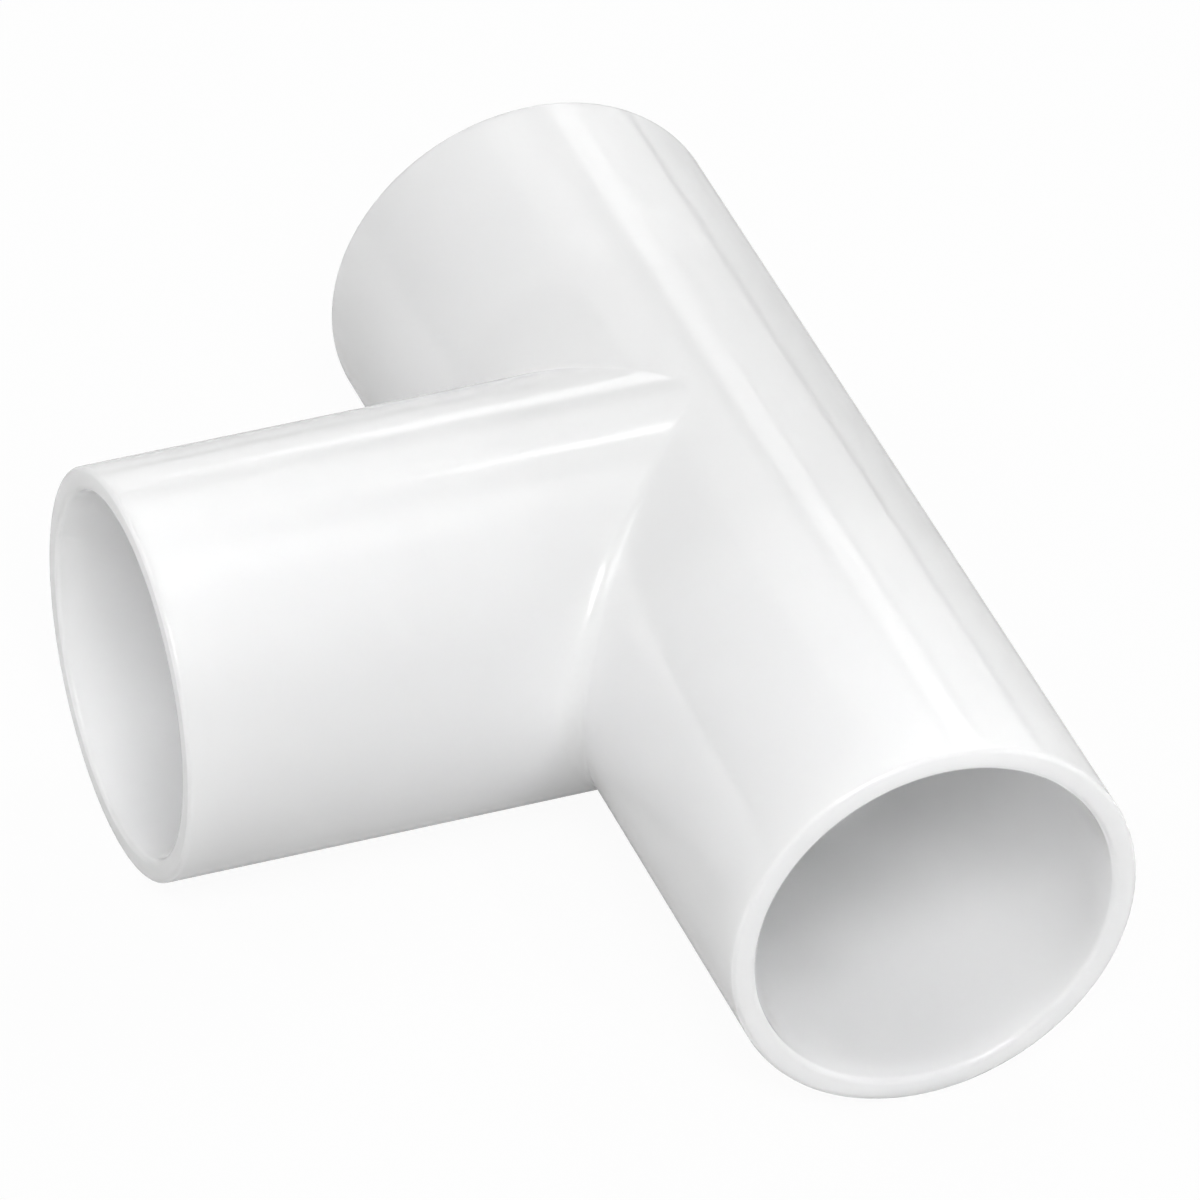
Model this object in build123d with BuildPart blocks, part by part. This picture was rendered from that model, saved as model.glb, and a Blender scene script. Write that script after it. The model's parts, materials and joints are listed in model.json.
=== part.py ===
"""Socket tee fitting for plastic pipe, moulded in one piece.

The run lies along X, with its longer arm towards +X, and the branch leaves it at a
right angle, towards -Y.  The fitting lies on its side: Z is up, the underside of the
barrels is at Z = 0, and the origin is under the middle of the fitting's box.
Lengths are in millimetres.
"""
import os

from build123d import *

# The pipe, and the sockets that it is cemented into
pipe_diameter = 60.0
cement_gap = 0.2  # between the pipe and its socket, on the radius
socket_wall = 4.0

# Each arm, from the crossing of the axes to its rim
long_run_arm = 102.3
short_run_arm = 81.3
branch_arm = 100.0

# The branch barrel is slimmer than the run's by this, on the radius, so that the crease
# between them is one closed curve
branch_relief = 0.1

# Past the sockets
stop_offset = 38.0  # from the crossing of the axes to each pipe stop
waterway_diameter = 54.0  # as wide as the pipe's own bore

# Edges
rim_bevel = 0.7  # outer edge of each rim
lead_in = 0.9  # bevel that guides the pipe into each socket
stop_bevel = 0.8  # inner edge of each pipe stop
junction_round = 3.0  # along the crease between the run and the branch

socket_radius = pipe_diameter / 2 + cement_gap
barrel_radius = socket_radius + socket_wall
waterway_radius = waterway_diameter / 2

# The crossing of the axes, placed so that the origin is under the middle of the box
crossing = Vector(
    (short_run_arm - long_run_arm) / 2,
    (branch_arm - barrel_radius) / 2,
    barrel_radius,
)

# Each arm's direction, length and barrel radius
arms = [
    (Vector(1, 0, 0), long_run_arm, barrel_radius),
    (Vector(-1, 0, 0), short_run_arm, barrel_radius),
    (Vector(0, -1, 0), branch_arm, barrel_radius - branch_relief),
]


def half_section(direction):
    """The level plane through an arm's axis: X runs out along the axis, Y is the radius."""
    return Plane(origin=crossing, x_dir=direction, z_dir=(0, 0, 1))


with BuildPart() as tee:
    # Outside: three plain barrels with bevelled rims
    for direction, arm, radius in arms:
        with BuildSketch(half_section(direction)) as barrel:
            Rectangle(arm, radius, align=Align.MIN)
            rim_corner = barrel.vertices().sort_by_distance((arm, radius))[0]
            chamfer(rim_corner, rim_bevel)
        revolve(axis=Axis(crossing, direction))

    # All edges but the crease are circles and lines: a rolling round blends branch and run
    crease = tee.edges().filter_by(GeomType.BSPLINE)
    fillet(crease, junction_round)

    # Inside: one core for each arm, as wide as the waterway up to the pipe stop and as
    # the socket from there to the rim, bevelled where it leaves each of them
    for direction, arm, radius in arms:
        with BuildSketch(half_section(direction)):
            with BuildLine():
                Polyline(
                    (0, 0),
                    (0, waterway_radius),
                    (stop_offset - stop_bevel, waterway_radius),
                    (stop_offset, waterway_radius + stop_bevel),
                    (stop_offset, socket_radius),
                    (arm - lead_in, socket_radius),
                    (arm, socket_radius + lead_in),
                    (arm, 0),
                    close=True,
                )
            make_face()
        revolve(axis=Axis(crossing, direction), mode=Mode.SUBTRACT)

tee.part.label = "tee"
os.makedirs("parts", exist_ok=True)
export_step(tee.part, "parts/tee.step")
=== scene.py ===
"""Studio scene for the socket tee fitting: the moulded body, its gloss plastic and a pale stage.

The run lies along X with its longer arm towards +X, the branch points towards -Y, and
lengths are in metres.
"""

import json
import math

import bmesh
import bpy
from mathutils import Matrix, Vector


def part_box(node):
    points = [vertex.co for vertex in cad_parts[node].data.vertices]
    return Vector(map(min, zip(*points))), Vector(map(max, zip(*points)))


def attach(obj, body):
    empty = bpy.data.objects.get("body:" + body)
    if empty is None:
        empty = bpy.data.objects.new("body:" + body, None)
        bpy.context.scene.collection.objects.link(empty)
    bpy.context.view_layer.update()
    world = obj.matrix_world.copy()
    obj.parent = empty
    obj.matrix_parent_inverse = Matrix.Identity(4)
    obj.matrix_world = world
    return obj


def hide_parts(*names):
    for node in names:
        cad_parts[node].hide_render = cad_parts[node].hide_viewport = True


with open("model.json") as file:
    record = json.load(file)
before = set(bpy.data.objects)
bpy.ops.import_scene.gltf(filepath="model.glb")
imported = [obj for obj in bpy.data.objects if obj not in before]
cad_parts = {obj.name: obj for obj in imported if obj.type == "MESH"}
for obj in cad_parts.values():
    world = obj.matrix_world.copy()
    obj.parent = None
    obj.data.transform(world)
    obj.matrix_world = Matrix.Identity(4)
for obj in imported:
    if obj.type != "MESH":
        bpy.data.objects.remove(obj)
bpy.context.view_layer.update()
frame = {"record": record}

# The moulding's main sizes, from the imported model
mounts = {mount["name"]: mount for mount in frame["record"]["mounts"]}
low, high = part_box("tee")
crossing = Vector(
    (
        mounts["branch_socket"]["pos_m"][0],
        mounts["long_run_socket"]["pos_m"][1],
        (low.z + high.z) / 2,
    )
)
long_run_arm = high.x - crossing.x
short_run_arm = crossing.x - low.x
branch_arm = crossing.y - low.y
run_radius = (high.z - low.z) / 2
socket_radius = mounts["long_run_socket"]["dims"]["r_mm"] / 1000

# Its smaller sizes
branch_relief = 0.0001  # the branch barrel is slimmer than the run's by this, on the radius
branch_radius = run_radius - branch_relief
waterway_radius = 0.027
stop_offset = 0.038  # from the crossing of the axes to each pipe stop
crease_round = 0.003
outer_rim_round = 0.0008
inner_rim_round = 0.0009
stop_round = 0.0008

# Fineness of the mesh
half_turn_steps = 120
round_steps = 8
rim_strip = 0.0001  # a narrow strip of each rim's flat face, beside its rounds
weld_distance = 2e-6  # points closer than this become one


# ---------------------------------------------------------------- moulded body


def on_run(out, radius, angle):
    """A point round the run's axis; the angle turns from the crown towards the branch."""
    return crossing + Vector((out, -radius * math.sin(angle), radius * math.cos(angle)))


def on_branch(out, radius, angle):
    """A point round the branch's axis; the angle turns from the crown towards the longer arm."""
    return crossing + Vector((radius * math.sin(angle), -out, radius * math.cos(angle)))


def turn(start, end):
    """Angles of half a turn, by equal steps, between two angles."""
    return [start + (end - start) * step / half_turn_steps for step in range(half_turn_steps + 1)]


def quarter():
    """Angles of a quarter circle, by equal steps."""
    return [math.pi / 2 * step / round_steps for step in range(round_steps + 1)]


def along(start, end):
    """Places on a straight stretch, closer together near its ends to keep the shading true."""
    return [start + (end - start) * share for share in (0, 0.01, 0.25, 0.5, 0.75, 0.99, 1)]


def ball_centre(angle):
    """From the crossing to the centre of the ball that rolls along the crease.

    The ball rests on both barrels, and the angle is round the branch.
    """
    x = (branch_radius + crease_round) * math.sin(angle)
    z = (branch_radius + crease_round) * math.cos(angle)
    return Vector((x, -math.sqrt((run_radius + crease_round) ** 2 - z**2), z))


def crease_arc(angle):
    """Points of the crease's round, from the branch barrel to the run barrel."""
    centre = ball_centre(angle)
    to_branch = -Vector((centre.x, 0, centre.z)).normalized()
    to_run = -Vector((0, centre.y, centre.z)).normalized()
    shares = [step / round_steps for step in range(round_steps + 1)]
    return [crossing + centre + to_branch.slerp(to_run, share) * crease_round for share in shares]


def run_angle(angle):
    """The angle round the run at which the rolling ball, at an angle round the branch, rests on it."""
    centre = ball_centre(angle)
    return math.atan2(-centre.y, centre.z)


def outer_rim(arm, barrel_radius):
    """(out, radius) over the rim's outer round and the outer part of its flat face."""
    rounded = [
        (
            arm - outer_rim_round * (1 - math.sin(angle)),
            barrel_radius - outer_rim_round * (1 - math.cos(angle)),
        )
        for angle in quarter()
    ]
    return rounded + [(arm, barrel_radius - outer_rim_round - rim_strip)]


def socket_bore(arm):
    """(out, radius) from the rim's flat face down the socket and over the pipe stop."""
    mouth = [
        (
            arm - inner_rim_round * (1 - math.cos(angle)),
            socket_radius + inner_rim_round * (1 - math.sin(angle)),
        )
        for angle in quarter()
    ]
    wall = [(out, socket_radius) for out in along(arm - inner_rim_round, stop_offset)]
    stop = [
        (
            stop_offset - stop_round * (1 - math.cos(angle)),
            waterway_radius + stop_round * (1 - math.sin(angle)),
        )
        for angle in quarter()
    ]
    strip = [(arm, socket_radius + inner_rim_round + rim_strip)]
    return strip + mouth + wall[1:] + stop


def add_sheet(shell, rows):
    """Joins each row of points to the next with four-sided faces."""
    grid = [[shell.verts.new(point) for point in row] for row in rows]
    for row, next_row in zip(grid, grid[1:]):
        for corners in zip(row, row[1:], next_row[1:], next_row):
            shell.faces.new(corners)


def add_run_arm(shell, side, arm):
    """One arm of the run, from the crease to its rim and back down its socket; side is 1 or -1."""
    branch_angles = turn(0, math.pi)
    front = [run_angle(angle) for angle in branch_angles]
    back = turn(front[-1], front[0] + 2 * math.pi)
    shoulder = arm - outer_rim_round

    add_sheet(
        shell,
        [
            [on_run(side * out, run_radius, angle) for out in along(ball_centre(b).x, shoulder)]
            for angle, b in zip(front, branch_angles)
        ],
    )
    add_sheet(
        shell,
        [[on_run(side * out, run_radius, angle) for out in along(0, shoulder)] for angle in back],
    )

    outer_ring = front + back[1:]
    inner_ring = turn(0, math.pi) + turn(math.pi, 2 * math.pi)[1:]
    rim = [[on_run(side * out, r, a) for a in outer_ring] for out, r in outer_rim(arm, run_radius)]
    bore = [[on_run(side * out, r, a) for a in inner_ring] for out, r in socket_bore(arm)]
    mitre = [max(0, waterway_radius * math.sin(angle)) for angle in inner_ring]
    waterway = [
        [
            on_run(side * (end + (stop_offset - stop_round - end) * share), waterway_radius, angle)
            for angle, end in zip(inner_ring, mitre)
        ]
        for share in (1, 0.98, 0.5, 0.02, 0)
    ]
    add_sheet(shell, rim + bore + waterway[1:])


def add_branch(shell):
    """The branch, from the crease to its rim and back down its socket."""
    ring = turn(0, math.pi) + turn(math.pi, 2 * math.pi)[1:]
    shoulder = branch_arm - outer_rim_round
    barrel = zip(*[along(-ball_centre(angle).y, shoulder) for angle in ring])
    outside = [[on_branch(o, branch_radius, a) for o, a in zip(outs, ring)] for outs in barrel]
    rim = [[on_branch(o, r, a) for a in ring] for o, r in outer_rim(branch_arm, branch_radius)]
    bore = [[on_branch(o, r, a) for a in ring] for o, r in socket_bore(branch_arm)]
    mitre = [waterway_radius * abs(math.sin(angle)) for angle in ring]
    waterway = [
        [
            on_branch(end + (stop_offset - stop_round - end) * share, waterway_radius, angle)
            for angle, end in zip(ring, mitre)
        ]
        for share in (0.98, 0.5, 0.02, 0)
    ]
    add_sheet(shell, outside + rim[1:] + bore + waterway)
    add_sheet(shell, [crease_arc(angle) for angle in ring])


def moulded_body():
    """The fitting as one closed mesh, with its rims and pipe stops rounded."""
    shell = bmesh.new()
    add_run_arm(shell, 1, long_run_arm)
    add_run_arm(shell, -1, short_run_arm)
    add_branch(shell)
    bmesh.ops.remove_doubles(shell, verts=shell.verts, dist=weld_distance)
    bmesh.ops.recalc_face_normals(shell, faces=shell.faces)
    mesh = bpy.data.meshes.new("moulded_tee")
    shell.to_mesh(mesh)
    shell.free()
    mesh.shade_smooth()
    mesh.set_sharp_from_angle(angle=math.radians(40))
    body = bpy.data.objects.new("moulded_tee", mesh)
    bpy.context.scene.collection.objects.link(body)
    return body


# ------------------------------------------------------------------- materials


def noise(nodes, links, coordinates, scale, detail):
    """A noise texture over the object, with its scale per metre."""
    texture = nodes.new("ShaderNodeTexNoise")
    texture.inputs["Scale"].default_value = scale
    texture.inputs["Detail"].default_value = detail
    links.new(coordinates.outputs["Object"], texture.inputs["Vector"])
    return texture


def spread(nodes, links, value, low_value, high_value):
    """A noise value stretched between two values."""
    scale = nodes.new("ShaderNodeMapRange")
    scale.inputs["From Min"].default_value = 0.3
    scale.inputs["From Max"].default_value = 0.7
    scale.inputs["To Min"].default_value = low_value
    scale.inputs["To Max"].default_value = high_value
    links.new(value, scale.inputs["Value"])
    return scale.outputs["Result"]


def white_moulded_plastic():
    """Bright white plastic with a moulded gloss: faint flow shading, sheen patches, fine ripple."""
    material = bpy.data.materials.new("white_moulded_plastic")
    material.use_nodes = True
    nodes = material.node_tree.nodes
    links = material.node_tree.links
    shader = nodes["Principled BSDF"]
    shader.inputs["IOR"].default_value = 1.53
    shader.subsurface_method = "BURLEY"
    shader.inputs["Subsurface Weight"].default_value = 1.0
    shader.inputs["Subsurface Radius"].default_value = (1, 1, 1)
    shader.inputs["Subsurface Scale"].default_value = 0.009
    coordinates = nodes.new("ShaderNodeTexCoord")

    flow = noise(nodes, links, coordinates, 22, 3)
    tint = nodes.new("ShaderNodeMix")
    tint.data_type = "RGBA"
    tint.inputs["A"].default_value = (0.915, 0.918, 0.92, 1)
    tint.inputs["B"].default_value = (0.94, 0.94, 0.94, 1)
    links.new(flow.outputs["Fac"], tint.inputs["Factor"])
    links.new(tint.outputs["Result"], shader.inputs["Base Color"])

    patches = noise(nodes, links, coordinates, 60, 4)
    gloss = spread(nodes, links, patches.outputs["Fac"], 0.07, 0.12)
    links.new(gloss, shader.inputs["Roughness"])

    ripple = noise(nodes, links, coordinates, 90, 2)
    bump = nodes.new("ShaderNodeBump")
    bump.inputs["Strength"].default_value = 0.05
    bump.inputs["Distance"].default_value = 0.0002
    links.new(ripple.outputs["Fac"], bump.inputs["Height"])
    links.new(bump.outputs["Normal"], shader.inputs["Normal"])
    return material


def white_sweep():
    """A white studio floor: it takes the fitting's shadow, and is bright to the camera and in gloss."""
    glow_to_camera = 0.92
    glow_in_gloss = 0.25
    material = bpy.data.materials.new("white_sweep")
    material.use_nodes = True
    nodes = material.node_tree.nodes
    links = material.node_tree.links
    paper = nodes["Principled BSDF"]
    paper.inputs["Base Color"].default_value = (0.55, 0.55, 0.55, 1)
    paper.inputs["Roughness"].default_value = 0.8
    glow = nodes.new("ShaderNodeEmission")
    glow.inputs["Strength"].default_value = 1.03
    path = nodes.new("ShaderNodeLightPath")
    to_camera = nodes.new("ShaderNodeMath")
    to_camera.operation = "MULTIPLY"
    to_camera.inputs[1].default_value = glow_to_camera
    links.new(path.outputs["Is Camera Ray"], to_camera.inputs[0])
    share = nodes.new("ShaderNodeMath")
    share.operation = "MULTIPLY_ADD"
    share.inputs[1].default_value = glow_in_gloss
    links.new(path.outputs["Is Glossy Ray"], share.inputs[0])
    links.new(to_camera.outputs["Value"], share.inputs[2])
    blend = nodes.new("ShaderNodeMixShader")
    links.new(share.outputs["Value"], blend.inputs["Fac"])
    links.new(paper.outputs["BSDF"], blend.inputs[1])
    links.new(glow.outputs["Emission"], blend.inputs[2])
    links.new(blend.outputs["Shader"], nodes["Material Output"].inputs["Surface"])
    return material


# ----------------------------------------------------------------------- stage


def direction(bearing, height_angle):
    """The unit vector towards a bearing, from +X towards +Y, and an angle above the floor."""
    level = Vector((math.cos(bearing), math.sin(bearing), 0))
    return math.cos(height_angle) * level + Vector((0, 0, math.sin(height_angle)))


def floor():
    """A wide level floor, just under the fitting."""
    reach = 6.0
    gap = 0.0002
    mesh = bpy.data.meshes.new("floor")
    corners = [(-reach, -reach, 0), (reach, -reach, 0), (reach, reach, 0), (-reach, reach, 0)]
    mesh.from_pydata(corners, [], [(0, 1, 2, 3)])
    ground = bpy.data.objects.new("floor", mesh)
    ground.location.z = low.z - gap
    bpy.context.scene.collection.objects.link(ground)
    mesh.materials.append(white_sweep())


def stand_lamp(lamp, place, turned):
    """Puts a lamp on the stage at a place, turned by a rotation."""
    stand = bpy.data.objects.new(lamp.name, lamp)
    stand.matrix_world = Matrix.Translation(place) @ turned.to_4x4()
    bpy.context.scene.collection.objects.link(stand)
    return stand


def softbox(name, bearing, height_angle, distance, width, height, power, lean=(0, 0, 1)):
    """A soft rectangular lamp turned towards the fitting.

    The bearing is from +X towards +Y and the height angle is above the floor, in degrees.
    Its width is square to the direction that it leans in.
    """
    lamp = bpy.data.lights.new(name, "AREA")
    lamp.shape = "RECTANGLE"
    lamp.size = width
    lamp.size_y = height
    lamp.energy = power
    outward = direction(math.radians(bearing), math.radians(height_angle))
    across = Vector(lean).cross(outward).normalized()
    upward = outward.cross(across)
    turned = Matrix((across, upward, outward)).transposed()
    stand_lamp(lamp, crossing + distance * outward, turned)


def mouth_spot(name, bearing, height_angle, inside, beam, power):
    """A narrow soft spot that shines into a mouth and leaves no glint.

    It is aimed at a point inside, and its beam is that many degrees wide.
    """
    distance = 1.5
    lamp = bpy.data.lights.new(name, "SPOT")
    lamp.shadow_soft_size = 0.06
    lamp.spot_size = math.radians(beam)
    lamp.spot_blend = 1
    lamp.energy = power
    outward = direction(math.radians(bearing), math.radians(height_angle))
    turned = outward.to_track_quat("Z", "Y").to_matrix()
    spot = stand_lamp(lamp, inside + distance * outward, turned)
    spot.visible_glossy = False


def surroundings(brightness):
    """Even pale light from all round."""
    world = bpy.data.worlds.new("pale_room")
    world.use_nodes = True
    background = world.node_tree.nodes["Background"]
    background.inputs["Color"].default_value = (1, 1, 1, 1)
    background.inputs["Strength"].default_value = brightness
    bpy.context.scene.world = world


def lamps():
    """The studio lamps, each placed for the part of the fitting that it lights."""
    # Broad light from the front
    softbox("key_softbox", -22, 50, 3.8, 1.4, 1.4, 53)
    softbox("front_softbox", -22, 36, 2.9, 1.5, 1.2, 8)
    softbox("mouth_softbox", 0, 47, 2.6, 1.0, 0.9, 8)

    # The sides and the back
    softbox("side_softbox", 70, 16, 1.7, 1.3, 0.9, 6.3)
    softbox("rear_softbox", 165, 15, 1.7, 2.2, 0.7, 3.3)
    softbox("rear_top_softbox", 124, 52, 1.7, 0.7, 0.7, 5.5)
    softbox("branch_softbox", 248, 44, 1.7, 1.0, 0.8, 6.6)

    # The sheen on the crown, and the bands along the run and the branch
    softbox("crown_panel", 162, 50, 2.6, 1.5, 1.15, 3.4)
    softbox("run_band_strip", 148, 30, 1.55, 1.1, 0.25, 1.1, lean=(0, -1, 1))
    softbox("branch_band_strip", 79, 72, 1.55, 0.45, 0.9, 0.9)

    # The sockets of the two near mouths, low inside each
    in_long_run = crossing + Vector((long_run_arm - 0.02, -0.006, -0.028))
    in_branch = crossing + Vector((0, 0.01 - branch_arm, -0.016))
    mouth_spot("long_run_spot", 12, 33, in_long_run, 2.4, 85)
    mouth_spot("branch_spot", -75, 33, in_branch, 3.8, 33)


# The camera stands off the longer arm and the branch, and looks down at the crown
camera_distance = 2.268
camera_bearing = math.radians(-22.5)
camera_height = math.radians(37.28)
camera_roll = math.radians(1.83)
aim_from_crossing = Vector((-0.0013, -0.0167, -0.0065))
lens = 419.45


def camera():
    """The camera, at a long lens."""
    stand = crossing + camera_distance * direction(camera_bearing, camera_height)
    view = crossing + aim_from_crossing - stand
    data = bpy.data.cameras.new("camera")
    data.lens = lens
    data.sensor_width = 36
    data.clip_end = 50
    viewer = bpy.data.objects.new("camera", data)
    roll = Matrix.Rotation(camera_roll, 4, "Z")
    viewer.matrix_world = (
        Matrix.Translation(stand) @ view.to_track_quat("-Z", "Y").to_matrix().to_4x4() @ roll
    )
    bpy.context.scene.collection.objects.link(viewer)
    bpy.context.scene.camera = viewer


camera()

tee = moulded_body()
tee.data.materials.append(white_moulded_plastic())
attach(tee, "root")
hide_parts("tee")

floor()
surroundings(0.05)
lamps()

bpy.context.scene.view_settings.view_transform = "Standard"
